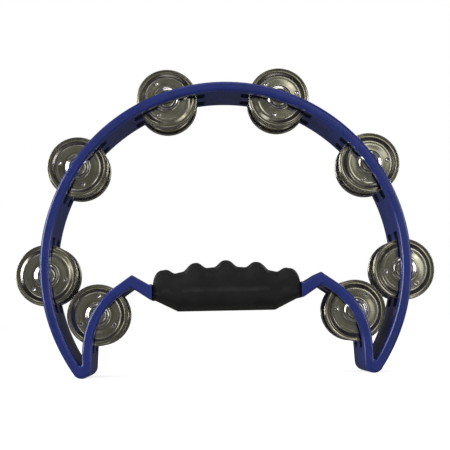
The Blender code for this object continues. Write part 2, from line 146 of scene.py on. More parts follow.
# Pressed shape of a disc, in millimetres: height of its crown over the plane of its rim, then how
# steeply its front falls at each radius: crown, side of the dome, flat face, bead and brim
DISC_CROWN = 3.55
DISC_FALLS = (
    (0.0, 0.0), (4.8, 0.06), (7.4, 0.78), (9.2, 0.03), (13.4, 0.03), (14.1, -0.11), (14.8, 0.0),
    (15.6, 0.22), (16.4, 0.36), (17.9, 0.36), (18.8, 0.10), (20.1, -0.26),
)
ROLL_RADIUS = 0.55 * MM
ROLL_START = math.radians(168)
ROLL_END = math.radians(-90)

# Unevenness of the pressed sheet: where it lies, and the waves that rise twice and once a turn
WAVE_INSIDE = 8.8 * MM
WAVE_OUTSIDE = 19.8 * MM
TWICE_SHARE, TWICE_START = 0.6, 0.7
ONCE_SHARE, ONCE_START = 0.4, 2.3

# Grip
GRIP_HALF_LENGTH = GRIP_TOP_HIGH.x
GRIP_HALF_DEPTH = GRIP_TOP_HIGH.y
GRIP_END_HALF_DEPTH = 21.0 * MM
GRIP_PLAN_ROUNDING = 7.0 * MM
GRIP_CROWN = GRIP_TOP_HIGH.z - ARC_HEIGHT
GRIP_CROWN_FALL = 3.3  # how fast the ridges' tops fall away from the middle, per metre
RIDGE_HALF_WIDTH = 8.6 * MM
RIDGE_FLATNESS = 1.3
RIDGE_PITCH = 21.8 * MM
RIDGE_COUNT = 5
SHOULDER_LENGTH = 7.1 * MM
SHOULDER_POWER = 2.4
END_TOP = -14.5 * MM
END_BOTTOM = -23.0 * MM
GRIP_BOTTOM = GRIP_BASE_LOW.z - ARC_HEIGHT
GRIP_FLAT_HALF_LENGTH = 34.0 * MM
GRIP_SECTION_POWER = 3.2
SEAM = (GRIP_TOP_LOW.z + GRIP_BASE_HIGH.z) / 2 - ARC_HEIGHT

# Blue plastic
PLASTIC_ROUGHNESS = (0.26, 0.38)
PLASTIC_SCUFF = 0.05
PLASTIC_WEAR = 0.55
PLASTIC_DEEP = 0.82  # of the colour, where the moulding looks deeper
PLASTIC_GRAIN = 0.03 * MM
SLOT_FACING = (0.4, 0.8)  # how far a slot's long side faces along Y
SLOT_DEPTHS = (20.0 * MM, 21.0 * MM)  # from the middle, where the painted shade in the slots fades out

# Black rubber
RUBBER_ROUGHNESS = (0.52, 0.68)
RUBBER_DUST = 0.3
RUBBER_GRAIN = 0.06 * MM

# Nickel plate
NICKEL_ROUGHNESS = (0.12, 0.20)
NICKEL_SCUFF = 0.10
NICKEL_WEAR = 0.6
BARE_NICKEL = (0.80, 0.79, 0.74)
TURNING_SCALE = 2500.0
TURNING_ROUGHNESS = 0.05
TURNING_DEPTH = 0.0012 * MM
BRIM_SHADE_RADII = (16.0 * MM, 17.2 * MM)  # radii between which painted shade and dulling darken the plate, like the next two
DOME_FOOT_SHADE_RADII = (8.6 * MM, 9.8 * MM)
DOME_SHADE_FADE_RADII = (9.8 * MM, 11.2 * MM)
SHADE_AND_DULL_SHARE = (0.35, 0.9)

# Bright steel
STEEL_ROUGHNESS = (0.22, 0.38)
STEEL_WORN = 0.7
STEEL_GRAIN = 0.006 * MM

# Floor
FLOOR_HALF = 12.0
FLOOR_GLOW = 0.72
FLOOR_FAINT = 0.985

# Lamps: name, place, size and power in watts
LAMPS = (
    ("left_window", (-1.22, -0.42, 0.35), (0.62, 0.95), 12.0),
    ("right_window", (1.24, -0.40, 0.30), (0.42, 0.80), 3.6),
    ("overhead", (0.1, -0.35, 1.3), (0.9, 0.40), 1.8),
    ("back_left", (-0.9, 1.1, 0.7), (0.35, 0.5), 2.0),
    ("back_right", (0.9, 1.1, 0.7), (0.35, 0.5), 2.0),
)

# Camera
CAMERA_PLACE = Vector((-18.1 * MM, -693.8 * MM, ARC_HEIGHT - 40.1 * MM))
CAMERA_YAW = math.radians(1.505)
CAMERA_PITCH = math.radians(5.692)
CAMERA_ROLL = math.radians(-1.124)
CAMERA_SENSOR = 36.0  # millimetres wide
CAMERA_CLIP = (0.01, 20.0)

# The room that the discs reflect, as rings of colour at angles from the way back to the viewer
ROOM_AXIS = Vector((0.035, -1.0, 0.050)).normalized()
FILL_LIGHT = (0.47, 0.47, 0.47)  # what matt surfaces get from all round
BACKDROP = (1.0, 1.0, 1.0)  # what the eye sees behind the object
RING_GAP = (0.13, 0.128, 0.110)  # where the bright ring is broken
RING_SWAY = math.radians(5)  # how far a ring strays from its angle
SWAY_SCALE = 1.9
GAP_SCALE = 4.2
PATCH_SCALE = 2.6
PATCH_LIGHT = (0.55, 1.4)
ROOM_RINGS = (
    (0.0, (0.26, 0.26, 0.23)),
    (7.0, (0.19, 0.19, 0.155)),
    (12.0, (0.11, 0.11, 0.085)),
    (15.0, (0.05, 0.05, 0.042)),
    (19.0, (1.80, 1.80, 1.40)),
    (24.5, (1.45, 1.42, 1.35)),
    (29.0, (0.030, 0.030, 0.032)),
    (50.0, (0.024, 0.024, 0.030)),
    (60.0, (0.34, 0.33, 0.40)),
    (76.0, (0.14, 0.14, 0.17)),
    (90.0, (0.030, 0.030, 0.036)),
    (104.0, (0.11, 0.11, 0.13)),
    (116.0, (0.030, 0.030, 0.036)),
    (122.0, (0.050, 0.050, 0.048)),
    (128.0, (0.80, 0.82, 0.64)),
    (139.0, (0.70, 0.72, 0.58)),
    (144.0, (0.04, 0.04, 0.038)),
    (180.0, (0.050, 0.050, 0.050)),
)


def length(name, description, default):
    return FloatProperty(
        name=name, description=description, default=default, unit="LENGTH", precision=5
    )


def colour(name, description, default):
    return FloatVectorProperty(
        name=name, description=description, default=default, subtype="COLOR", min=0.0, max=1.0
    )


class TAMBOURINE_PG_band(PropertyGroup):
    rim_rounding: length("Rim rounding", "Radius along the edges of both rims", 2.3 * MM)
    slot_corner: length("Slot corner", "Radius in the corners of each slot", 1.6 * MM)
    slot_rounding: length("Slot rounding", "Radius round the mouth of each slot", 0.45 * MM)
    tint: colour("Colour", "Colour of the moulded plastic", (0.0150, 0.0325, 0.232))
    worn_tint: colour("Worn colour", "Colour where edges are rubbed", (0.060, 0.085, 0.270))
    # Painted shade: this colour darkens the long sides of the slots in place of the shade inside
    # them
    slot_shade_tint: colour("Slot colour", "Colour of the grime in the slots", (0.006, 0.010, 0.040))


class TAMBOURINE_PG_grip(PropertyGroup):
    ridge_height: length("Ridge height", "Height of the ridges over the finger grooves", 4.6 * MM)
    seam_rounding: length("Seam rounding", "Radius along the parting line", 0.06 * MM)
    seam_lip: length("Seam lip", "How far the lower half stands out at the seam", 0.55 * MM)
    tint: colour("Colour", "Colour of the grip", (0.0155, 0.0155, 0.0160))
    worn_tint: colour("Worn colour", "Colour where fingers rub the grip", (0.032, 0.032, 0.032))


class TAMBOURINE_PG_disc(PropertyGroup):
    sheet: length("Sheet", "Thickness of the pressed sheet", 0.45 * MM)
    dimple_radius: length("Dimple radius", "Size of each pierced dimple", 0.8 * MM)
    dimple_depth: length("Dimple depth", "Depth of each pierced dimple", 0.55 * MM)
    waviness: length("Waviness", "How far the sheet strays from a true round form", 0.36 * MM)
    spin_seed: IntProperty(
        name="Spin seed", description="Seed for how each disc is turned", default=7
    )
    tint: colour("Colour", "Colour of the nickel plate", (0.67, 0.65, 0.60))
    # Painted shade, partly dulled plate: this colour darkens the brim and the foot of the dome
    shade_and_dull_tint: colour("Dull colour", "Colour where the plate has dulled", (0.36, 0.34, 0.24))


class TAMBOURINE_PG_pin(PropertyGroup):
    chamfer: length("Chamfer", "Chamfer at both ends of a pin", 0.4 * MM)
    tint: colour("Colour", "Colour of the steel wire", (0.60, 0.60, 0.60))


class TAMBOURINE_PG_stage(PropertyGroup):
    floor_tint: colour("Floor colour", "Colour of the floor", (0.93, 0.93, 0.93))
    lens: FloatProperty(name="Lens", description="Focal length in millimetres", default=78.9)


# Meshes


@contextmanager
def editing(mesh):
    """Opens a mesh for editing and writes it back at the end."""
    work = bmesh.new()
    work.from_mesh(mesh)
    yield work
    work.to_mesh(mesh)
    work.free()


def mesh_from(name, points, faces):
    mesh = bpy.data.meshes.new(name)
    mesh.from_pydata(points, [], faces)
    with editing(mesh) as work:
        bmesh.ops.recalc_face_normals(work, faces=work.faces)
    return mesh


def add_object(name, mesh, material):
    mesh.materials.clear()
    mesh.materials.append(material)
    mesh.shade_smooth()
    mesh.set_sharp_from_angle(angle=SHARP_ANGLE)
    piece = bpy.data.objects.new(name, mesh)
    bpy.context.scene.collection.objects.link(piece)
    return piece


def weigh_normals(piece):
    """Keeps large faces flat to the eye where a small rounding meets them."""
    modifier = piece.modifiers.new("flat_faces", "WEIGHTED_NORMAL")
    modifier.weight = FLATNESS_WEIGHT
    modifier.keep_sharp = True


def round_edges(work, edges, radius, steps):
    bmesh.ops.bevel(
        work, geom=edges, offset=radius, segments=steps, profile=0.5, affect="EDGES"
    )


def stand_for(piece, node, body):
    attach(piece, body)
    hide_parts(node)


def band_between(ring, after):
    """Quads between two rings of equally many points."""
    size = len(ring)
    return [(ring[i], ring[(i + 1) % size], after[(i + 1) % size], after[i]) for i in range(size)]


def turned(name, profile, sides, closed):
    """A form turned about the Y axis from (radius, y) points: a tube, or a rod with flat ends."""
    points, rings = [], []
    for radius, y in profile:
        rings.append(range(len(points), len(points) + sides))
        for i in range(sides):
            angle = math.tau * i / sides
            points.append((radius * math.cos(angle), y, radius * math.sin(angle)))
    faces = [quad for ring, after in zip(rings, rings[1:]) for quad in band_between(ring, after)]
    if closed:
        faces += band_between(rings[-1], rings[0])
    else:
        faces += [tuple(rings[0]), tuple(reversed(rings[-1]))]
    return mesh_from(name, points, faces)


def evenly(low, high, count):
    return [low + (high - low) * i / count for i in range(count + 1)]


# Band


def along(angle):
    return Vector((math.cos(angle), math.sin(angle)))


def arc_points(centre, radius, start, end, count):
    return [centre + radius * along(angle) for angle in evenly(start, end, count)]


def meet(point_a, way_a, point_b, way_b):
    """Where two lines cross."""
    cross = way_a.x * way_b.y - way_a.y * way_b.x
    gap = point_b - point_a
    return point_a + way_a * ((gap.x * way_b.y - gap.y * way_b.x) / cross)


def up_side(way):
    normal = Vector((-way.y, way.x))
    return normal if normal.y > 0 else -normal


def leg_bend(inward):
    """Centre and radius of the leg's bend, for an outline this far inside the loop of the band."""
    head = CORNER + up_side(LEG_HEAD_WAY) * inward
    foot = TIP_CROSSING + up_side(LEG_FOOT_WAY) * inward
    crossing = meet(head, LEG_HEAD_WAY, foot, LEG_FOOT_WAY)
    radius = LEG_BEND + inward
    tangent = radius * math.tan((LEG_FOOT_SLOPE - LEG_HEAD_SLOPE) / 2)
    return crossing - LEG_HEAD_WAY * tangent - up_side(LEG_HEAD_WAY) * radius, radius


def tip_fillet(inward, rounding):
    """Centre of the circle that rounds the tip, and the angle from the top where it starts."""
    arc = ARC_MIDDLE - inward
    foot = TIP_CROSSING + up_side(LEG_FOOT_WAY) * (inward + rounding)
    along_foot = foot.dot(LEG_FOOT_WAY)
    reach = math.sqrt(along_foot**2 - foot.length_squared + (arc - rounding) ** 2)
    centre = foot + LEG_FOOT_WAY * (reach - along_foot)
    return centre, math.atan2(centre.x, centre.y)


def strap_side(inward):
    """A point, the direction and the slope of the strap's top, or of its underside."""
    slope = STRAP_SLOPE if inward > 0 else STRAP_UNDER_SLOPE
    drop = 0.0 if inward > 0 else STRAP_UNDER_DROP
    way = along(slope)
    return CORNER + up_side(way) * (inward - drop), way, slope


def corner_fillet(inward):
    """Centre of the fold between the leg and the strap."""
    point, way, slope = strap_side(inward)
    vertex = meet(CORNER + up_side(LEG_HEAD_WAY) * inward, LEG_HEAD_WAY, point, way)
    tangent = CORNER_ROUNDING * math.tan((LEG_HEAD_SLOPE + slope) / 2)
    return vertex + LEG_HEAD_WAY * tangent - up_side(LEG_HEAD_WAY) * CORNER_ROUNDING


def leg_run(inward):
    """The leg's points from foot to head, each tagged with whether its slot starts there."""
    centre, radius = leg_bend(inward)
    foot_angle = math.pi / 2 - LEG_FOOT_SLOPE
    head_angle = math.pi / 2 - LEG_HEAD_SLOPE
    middle = (foot_angle + head_angle) / 2 + LEG_STATION_RISE / LEG_BEND
    below = SLOT_LENGTH / 2 - (middle - foot_angle) * LEG_BEND
    above = SLOT_LENGTH / 2 - (head_angle - middle) * LEG_BEND
    bend = arc_points(centre, radius, foot_angle, head_angle, LEG_STEPS)
    run = [(bend[0] + LEG_FOOT_WAY * below, True)]
    run += [(point, True) for point in bend]
    run.append((bend[-1] - LEG_HEAD_WAY * above, False))
    return run


def half_outline(inward, tip_rounding):
    """Outline points from the top of the arc to the strap's end, each tagged with its slot."""
    arc = ARC_MIDDLE - inward
    half_slot = SLOT_LENGTH / 2 / ARC_MIDDLE
    tip, tip_angle = tip_fillet(inward, tip_rounding)
    marks = [0.0]
    for angle in STATION_ANGLES:
        marks += [angle - half_slot, angle + half_slot]
    marks.append(tip_angle)
    outline, slots = [], []
    for k, (start, end) in enumerate(zip(marks, marks[1:])):
        count = max(1, round((end - start) / ARC_STEP))
        run = arc_points(Vector((0, 0)), arc, math.pi / 2 - start, math.pi / 2 - end, count)
        outline += run[:-1]
        slots += [k % 2 == 1] * count
    first, last = math.pi / 2 - tip_angle, -math.pi / 2 - LEG_FOOT_SLOPE
    outline += arc_points(tip, tip_rounding, first, last, TIP_STEPS)
    slots += [False] * (TIP_STEPS + 1)
    for point, slotted in leg_run(inward):
        outline.append(point)
        slots.append(slotted)
    point, way, slope = strap_side(inward)
    start, end = math.pi / 2 - LEG_HEAD_SLOPE, math.pi / 2 + slope
    outline += arc_points(corner_fillet(inward), CORNER_ROUNDING, start, end, CORNER_STEPS)
    outline.append(point + way * ((COLLAR_OUT - point.x) / way.x))
    slots += [False] * (CORNER_STEPS + 2)
    return outline, slots


def section(outer, inner, half_depth, rounding):
    """Ring of points round the band where its outline passes outer and inner."""
    width = (inner - outer).length
    across = (inner - outer) / width
    flat = half_depth - rounding
    slot_low, slot_high = ROW_OFFSET - SLOT_WIDTH / 2, ROW_OFFSET + SLOT_WIDTH / 2
    scale = min(1.0, flat / (slot_high + rounding))
    low, high = slot_low * scale, slot_high * scale
    levels = [-flat, -high, -low, low, high, flat]
    turn = [rounding * (1 - math.cos(a)) for a in evenly(0.0, math.pi / 2, RIM_STEPS)]
    rise = [rounding * math.sin(a) for a in evenly(0.0, math.pi / 2, RIM_STEPS)]
    back = list(zip(turn[1:], (flat + r for r in rise[1:])))
    back += [(width - s, y) for s, y in reversed(back)]
    ring = [(0.0, y) for y in levels] + back + [(width, y) for y in reversed(levels)]
    ring += [(width - s, -y) for s, y in back]
    return [(outer + across * s, y) for s, y in ring]


# Sides of a section that a slot opens through; points i and OPPOSITE_SUM - i face each other.
OPPOSITE_SUM = 11 + 2 * RIM_STEPS
OUTER_SLOT_SIDES = (1, 3)
INNER_SLOT_SIDES = tuple(OPPOSITE_SUM - low - 1 for low in OUTER_SLOT_SIDES)


def band_sections(rim_rounding):
    """Sections round the whole closed loop, each with whether a slot starts at it."""
    outer, slots = half_outline(-WALL / 2, TIP_ROUNDING)
    inner, _ = half_outline(WALL / 2, TIP_INNER_ROUNDING)
    half = [
        (section(a, b, DEPTH / 2, rim_rounding), slotted)
        for a, b, slotted in zip(outer, inner, slots)
    ]
    top, bottom = inner[-1].y + COLLAR_LIP, outer[-1].y - COLLAR_LIP
    bar_top, bar_bottom = BAR_HEIGHT + BAR_THICKNESS / 2, BAR_HEIGHT - BAR_THICKNESS / 2
    for x, low, high, half_depth in (
        (COLLAR_OUT - COLLAR_LIP, bottom, top, DEPTH / 2),
        (COLLAR_IN, bottom, top, DEPTH / 2),
        (COLLAR_IN, bar_bottom, bar_top, BAR_HALF_DEPTH),
    ):
        ring = section(Vector((x, low)), Vector((x, high)), half_depth, rim_rounding)
        half.append((ring, False))
    left = []
    for (ring, _), (_, slotted_below) in zip(half[:0:-1], half[-2::-1]):
        left.append(([(Vector((-p.x, p.y)), y) for p, y in ring], slotted_below))
    return half + left


def band_mesh(settings):
    """The lofted band with its slots left open, and the edges in the slots' corners."""
    loop = band_sections(settings.rim_rounding)
    points, rings, faces, corners = [], [], [], []
    for ring, _ in loop:
        rings.append(range(len(points), len(points) + len(ring)))
        points += [(p.x, y, p.y + ARC_HEIGHT) for p, y in ring]
    for k, (_, slotted) in enumerate(loop):
        here, after = rings[k], rings[(k + 1) % len(rings)]
        open_sides = OUTER_SLOT_SIDES + INNER_SLOT_SIDES if slotted else ()
        faces += [quad for i, quad in enumerate(band_between(here, after)) if i not in open_sides]
        for low in OUTER_SLOT_SIDES:
            high, far_low, far_high = low + 1, OPPOSITE_SUM - low, OPPOSITE_SUM - low - 1
            if slotted:
                faces.append((here[low], after[low], after[far_low], here[far_low]))
                faces.append((here[high], here[far_high], after[far_high], after[high]))
            if slotted != loop[k - 1][1]:
                faces.append((here[low], here[far_low], here[far_high], here[high]))
                corners += [(here[low], here[far_low]), (here[high], here[far_high])]
    return mesh_from("band", points, faces), corners


def round_slots(mesh, corners, settings):
    with editing(mesh) as work:
        work.verts.ensure_lookup_table()
        edges = [work.edges.get((work.verts[a], work.verts[b])) for a, b in corners]
        round_edges(work, edges, settings.slot_corner, SLOT_CORNER_STEPS)
        round_edges(work, mouth_edges(work), settings.slot_rounding, SLOT_MOUTH_STEPS)


def mouth_edges(work):
    """The sharp edges round the mouths of the slots, on both faces of the band."""
    reach = ROW_OFFSET + SLOT_WIDTH / 2 + 0.1 * MM
    past_collar = COLLAR_OUT + MARGIN
    return [
        edge
        for edge in work.edges
        if edge.calc_face_angle(0.0) > MOUTH_ANGLE
        and all(abs(v.co.y) < reach and abs(v.co.x) > past_collar for v in edge.verts)
    ]


def pin_place(side, number):
    low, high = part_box(f"pin_{side}_{number}")
    return (low + high) / 2, low.y, high.y


def bore_cutter():
    """The eight bores, each with a counterbore for the pin's head."""
    mesh = bpy.data.meshes.new("bores")
    past = FRAME_HIGH.y + MARGIN
    bore, counterbore = PIN_RADIUS + PIN_CLEARANCE, PIN_HEAD_RADIUS + PIN_CLEARANCE
    with editing(mesh) as work:
        for side, number in product(SIDES, STATIONS):
            centre, front, back = pin_place(side, number)
            seat = back - PIN_HEAD_LENGTH - PIN_CLEARANCE
            profile = [
                (bore, front - PIN_CLEARANCE),
                (bore, seat),
                (counterbore, seat),
                (counterbore, past),
            ]
            start = len(work.verts)
            work.from_mesh(turned("bore", profile, PIN_STEPS, closed=False))
            work.verts.ensure_lookup_table()
            shift = Vector((centre.x, 0.0, centre.z))
            bmesh.ops.translate(work, verts=work.verts[start:], vec=shift)
    return mesh


def cut_away(piece, cutter_mesh):
    """Cuts the form out of the piece for good."""
    cutter = bpy.data.objects.new("cutter", cutter_mesh)
    bpy.context.scene.collection.objects.link(cutter)
    modifier = piece.modifiers.new("cut", "BOOLEAN")
    modifier.operation, modifier.object, modifier.solver = "DIFFERENCE", cutter, "EXACT"
    graph = bpy.context.evaluated_depsgraph_get()
    mesh = bpy.data.meshes.new_from_object(piece.evaluated_get(graph))
    if not mesh.polygons or len(mesh.polygons) == len(piece.data.polygons):
        raise RuntimeError(f"{piece.name}: nothing was cut")
    piece.modifiers.clear()
    piece.data = mesh
    bpy.data.objects.remove(cutter, do_unlink=True)


# Discs


def disc_height(radius):
    """Height of the disc's front over the plane of its rim."""
    height, r = DISC_CROWN, radius / MM
    for (start, fall), (end, next_fall) in zip(DISC_FALLS, DISC_FALLS[1:]):
        run = min(r, end) - start
        if run > 0:
            height -= run * (fall + (next_fall - fall) * run / (end - start) / 2)
    return height * MM


def disc_profile(radius, sheet):
    middle = radius - ROLL_RADIUS
    brim = DISC_FALLS[-1][0] * MM
    front = [(r, disc_height(r)) for r in evenly(DISC_HOLE, brim, DISC_FRONT_STEPS)]
    rolled = [
        (middle + ROLL_RADIUS * math.cos(a), ROLL_RADIUS + ROLL_RADIUS * math.sin(a))
        for a in evenly(ROLL_START, ROLL_END, ROLL_STEPS)
    ]
    under = [(r, disc_height(r) - sheet) for r in evenly(brim, DISC_HOLE, DISC_UNDER_STEPS)]
    return [(r, -height) for r, height in front + rolled + under]


def sheet_wave(x, z):
    """How far, from -1 to 1, the sheet strays from a true round form at a place on it."""
    reach = (math.hypot(x, z) - WAVE_INSIDE) / (WAVE_OUTSIDE - WAVE_INSIDE)
    if not 0.0 < reach < 1.0:
        return 0.0
    turn = math.atan2(z, x)
    twice = TWICE_SHARE * math.cos(2 * turn + TWICE_START)
    once = ONCE_SHARE * math.cos(turn + ONCE_START)
    return math.sin(math.pi * reach) ** 2 * (twice + once)


def dimple_form(distance):
    """Depth of a dimple, as a share of its full depth, with a lip pressed up round it."""
    hollow = math.exp(-distance * distance * DIMPLE_STEEPNESS)
    return hollow - LIP_HEIGHT * math.exp(-((distance - LIP_PLACE) ** 2) * LIP_STEEPNESS)


def disc_mesh(radius, settings):
    mesh = turned("disc", disc_profile(radius, settings.sheet), DISC_STEPS, closed=True)
    turns = [math.tau * i / DIMPLE_COUNT for i in range(DIMPLE_COUNT)]
    centres = [DIMPLE_PLACE * radius * along(turn) for turn in turns]
    reach = DIMPLE_REACH * settings.dimple_radius

    def distance(vert):
        return min((Vector((vert.co.x, vert.co.z)) - c).length for c in centres)

    with editing(mesh) as work:
        for vert in work.verts:
            vert.co.y -= settings.waviness * sheet_wave(vert.co.x, vert.co.z)
        near = [e for e in work.edges if all(distance(v) < reach for v in e.verts)]
        bmesh.ops.subdivide_edges(work, edges=near, cuts=DIMPLE_CUTS, use_grid_fill=True)
        for vert in work.verts:
            away = distance(vert) / settings.dimple_radius
            vert.co.y += settings.dimple_depth * dimple_form(away)
    return mesh


# Grip


def crown_line(x):
    return GRIP_CROWN - GRIP_CROWN_FALL * x * x


def ridge_line(x, ridge_height):
    """Height of the grip's top: ridges with finger grooves between, and rounded shoulders."""
    last = RIDGE_PITCH * (RIDGE_COUNT - 1) / 2
    if abs(x) > last:
        peak = crown_line(last)
        reach = min(1.0, (abs(x) - last) / SHOULDER_LENGTH)
        fall = (1 - reach**SHOULDER_POWER) ** (1 / SHOULDER_POWER)
        return END_TOP + (peak - END_TOP) * fall
    nearest = round(x / RIDGE_PITCH) * RIDGE_PITCH
    away = min(1.0, abs(x - nearest) / RIDGE_HALF_WIDTH)
    return crown_line(x) - ridge_height * (1 - math.cos(math.pi * away**RIDGE_FLATNESS)) / 2


def belly_line(x):
    """Height of the grip's underside: flat, with a slope up to each end."""
    reach = max(0.0, abs(x) - GRIP_FLAT_HALF_LENGTH) / (GRIP_HALF_LENGTH - GRIP_FLAT_HALF_LENGTH)
    return GRIP_BOTTOM + (END_BOTTOM - GRIP_BOTTOM) * reach


def half_depth_at(x):
    reach = max(0.0, abs(x) - (GRIP_HALF_LENGTH - GRIP_PLAN_ROUNDING)) / GRIP_PLAN_ROUNDING
    drop = GRIP_HALF_DEPTH - GRIP_END_HALF_DEPTH
    return GRIP_HALF_DEPTH - drop * (1 - math.sqrt(1 - min(1.0, reach) ** 2))


def grip_places(count):
    """Positions along the grip, closer together towards both ends."""
    turns = evenly(-math.pi / 2, math.pi / 2, count)
    return [GRIP_HALF_LENGTH * math.sin(turn) for turn in turns]


def grip_mesh(name, edge_line, lip, rounding):
    """One half of the grip, lofted between the seam's plane and edge_line."""
    points, rings, steps = [], [], GRIP_SECTION_STEPS
    for x in grip_places(GRIP_LENGTH_STEPS):
        rise, half_depth = edge_line(x) - SEAM, half_depth_at(x) + lip
        rings.append(range(len(points), len(points) + steps + 1))
        for angle in evenly(0.0, math.pi, steps):
            c, s = math.cos(angle), math.sin(angle)
            y = half_depth * math.copysign(abs(c) ** (2 / GRIP_SECTION_POWER), c)
            z = SEAM + rise * abs(s) ** (2 / GRIP_SECTION_POWER)
            points.append((x, y, z + ARC_HEIGHT))
    faces = [tuple(rings[0]), tuple(reversed(rings[-1]))]
    for ring, after in zip(rings, rings[1:]):
        faces += band_between(ring, after)
    mesh = mesh_from(name, points, faces)
    with editing(mesh) as work:
        sharp = [e for e in work.edges if e.calc_face_angle(0.0) > SEAM_ANGLE]
        round_edges(work, sharp, rounding, SEAM_STEPS)
    return mesh


# Finishes


def node_group(name, inputs, outputs):
    """A shader node group with number sockets, and its two end nodes."""
    group = bpy.data.node_groups.new(name, "ShaderNodeTree")
    kind = "NodeSocketFloat"
    for label, default in inputs.items():
        socket = group.interface.new_socket(name=label, in_out="INPUT", socket_type=kind)
        socket.default_value = default
    for label in outputs:
        group.interface.new_socket(name=label, in_out="OUTPUT", socket_type=kind)
    return group, group.nodes.new("NodeGroupInput"), group.nodes.new("NodeGroupOutput")


def add_node(tree, kind, settings=None, **inputs):
    """A node with its properties set, and its inputs, by name or as i0, i1, set or linked."""
    node = tree.nodes.new(kind)
    for key, value in (settings or {}).items():
        setattr(node, key, value)
    for key, value in inputs.items():
        numbered = key[0] == "i" and key[1:].isdigit()
        socket = node.inputs[int(key[1:]) if numbered else key.replace("_", " ")]
        if isinstance(value, bpy.types.NodeSocket):
            tree.links.new(value, socket)
        else:
            socket.default_value = value
    return node


def math_node(tree, operation, first, second=0.0, clamp=False):
    settings = {"operation": operation, "use_clamp": clamp}
    return add_node(tree, "ShaderNodeMath", settings, i0=first, i1=second).outputs[0]


def ranged(tree, value, span, to=(0.0, 1.0)):
    """The value carried from one span to another, and held at its ends."""
    node = add_node(
        tree, "ShaderNodeMapRange", None,
        Value=value, From_Min=span[0], From_Max=span[1], To_Min=to[0], To_Max=to[1],
    )
    return node.outputs[0]


def spread(tree, mask, to):
    """A mask from 0 to 1 carried to another span."""
    return ranged(tree, mask, (0.0, 1.0), to)


def raised(tree, value, mask, share):
    """The value with a share of a mask added."""
    return math_node(tree, "ADD", value, math_node(tree, "MULTIPLY", mask, share))


def noise(tree, vector, scale, detail, roughness=0.5, distortion=0.0):
    node = add_node(
        tree, "ShaderNodeTexNoise", None,
        Vector=vector, Scale=scale, Detail=detail, Roughness=roughness, Distortion=distortion,
    )
    return node.outputs["Fac"]


def moulded_grain_group():
    """Fine grain of a moulded surface, over a slow unevenness."""
    group, start, end = node_group(
        "moulded_grain",
        {"Grain Scale": 2600.0, "Swell Scale": 60.0, "Swell Share": 0.5},
        ("Height", "Mottle"),
    )
    place = add_node(group, "ShaderNodeTexCoord").outputs["Object"]
    grain = noise(group, place, start.outputs["Grain Scale"], detail=3.0, roughness=0.6)
    swell = noise(group, place, start.outputs["Swell Scale"], detail=2.0)
    share = start.outputs["Swell Share"]
    rest = math_node(group, "SUBTRACT", 1.0, share)
    fine = math_node(group, "MULTIPLY", grain, rest)
    slow = math_node(group, "MULTIPLY", swell, share)
    height = math_node(group, "ADD", fine, slow)
    group.links.new(height, end.inputs["Height"])
    group.links.new(ranged(group, swell, (0.35, 0.65)), end.inputs["Mottle"])
    return group


def edge_wear_group():
    """Mask of rubbed edges, broken up by noise."""
    group, start, end = node_group(
        "edge_wear", {"Sharpness": 0.53, "Break Scale": 220.0}, ("Mask",)
    )
    place = add_node(group, "ShaderNodeTexCoord").outputs["Object"]
    point = add_node(group, "ShaderNodeNewGeometry").outputs["Pointiness"]
    low = start.outputs["Sharpness"]
    high = math_node(group, "ADD", low, 0.06)
    edge = ranged(group, point, (low, high))
    breaks = noise(group, place, start.outputs["Break Scale"], detail=4.0, roughness=0.65)
    broken = ranged(group, breaks, (0.35, 0.6), (0.25, 1.0))
    group.links.new(math_node(group, "MULTIPLY", edge, broken, clamp=True), end.inputs["Mask"])
    return group


def handling_group():
    """Smudges and fine scuffs where hands and cases touch a surface."""
    group, start, end = node_group(
        "handling", {"Smudge Scale": 45.0, "Scuff Scale": 900.0}, ("Smudge", "Scuff")
    )
    place = add_node(group, "ShaderNodeTexCoord").outputs["Object"]
    smudge = noise(
        group, place, start.outputs["Smudge Scale"], detail=5.0, roughness=0.6, distortion=0.8
    )
    stretched = add_node(
        group, "ShaderNodeMapping", None,
        Vector=place, Scale=(1.0, 0.35, 0.12), Rotation=(0.3, 0.5, 0.9),
    )
    scuff = noise(
        group, stretched.outputs[0], start.outputs["Scuff Scale"], detail=2.0, roughness=0.7
    )
    group.links.new(ranged(group, smudge, (0.42, 0.68)), end.inputs["Smudge"])
    group.links.new(ranged(group, scuff, (0.62, 0.72)), end.inputs["Scuff"])
    return group


def place_group(tree, name, **inputs):
    node = add_node(tree, "ShaderNodeGroup", {"node_tree": bpy.data.node_groups[name]})
    for key, value in inputs.items():
        node.inputs[key.replace("_", " ")].default_value = value
    return node


def mixed(tree, factor, first, second):
    """Colour between two, each given as an RGB triple or a socket."""
    node = tree.nodes.new("ShaderNodeMix")
    node.data_type = "RGBA"
    tree.links.new(factor, node.inputs["Factor"])
    for socket, value in ((node.inputs[6], first), (node.inputs[7], second)):
        if isinstance(value, bpy.types.NodeSocket):
            tree.links.new(value, socket)
        else:
            socket.default_value = (*value, 1.0)
    return node.outputs[2]


def new_material(name, tint, **constants):
    """A material, its node tree and its Principled shader with the shader's constants set."""
    material = bpy.data.materials.new(name)
    material.use_nodes = True
    material.diffuse_color = (*tint, 1.0)
    tree = material.node_tree
    shader = tree.nodes["Principled BSDF"]
    for key, value in constants.items():
        shader.inputs[key.replace("_", " ")].default_value = value
    return material, tree, shader


def bump(tree, shader, height, distance):
    node = add_node(tree, "ShaderNodeBump", None, Height=height, Distance=distance)
    tree.links.new(node.outputs[0], shader.inputs["Normal"])


def slot_shade_mask(tree):
    """Mask of the long sides of the slots, where painted shade darkens the plastic."""
    place = add_node(tree, "ShaderNodeTexCoord")
    facing = add_node(tree, "ShaderNodeSeparateXYZ", None, Vector=place.outputs["Normal"])
    depth = add_node(tree, "ShaderNodeSeparateXYZ", None, Vector=place.outputs["Object"])
    across = ranged(tree, math_node(tree, "ABSOLUTE", facing.outputs["Y"]), SLOT_FACING)
    within = ranged(tree, math_node(tree, "ABSOLUTE", depth.outputs["Y"]), SLOT_DEPTHS, (1.0, 0.0))
    return math_node(tree, "MULTIPLY", across, within)


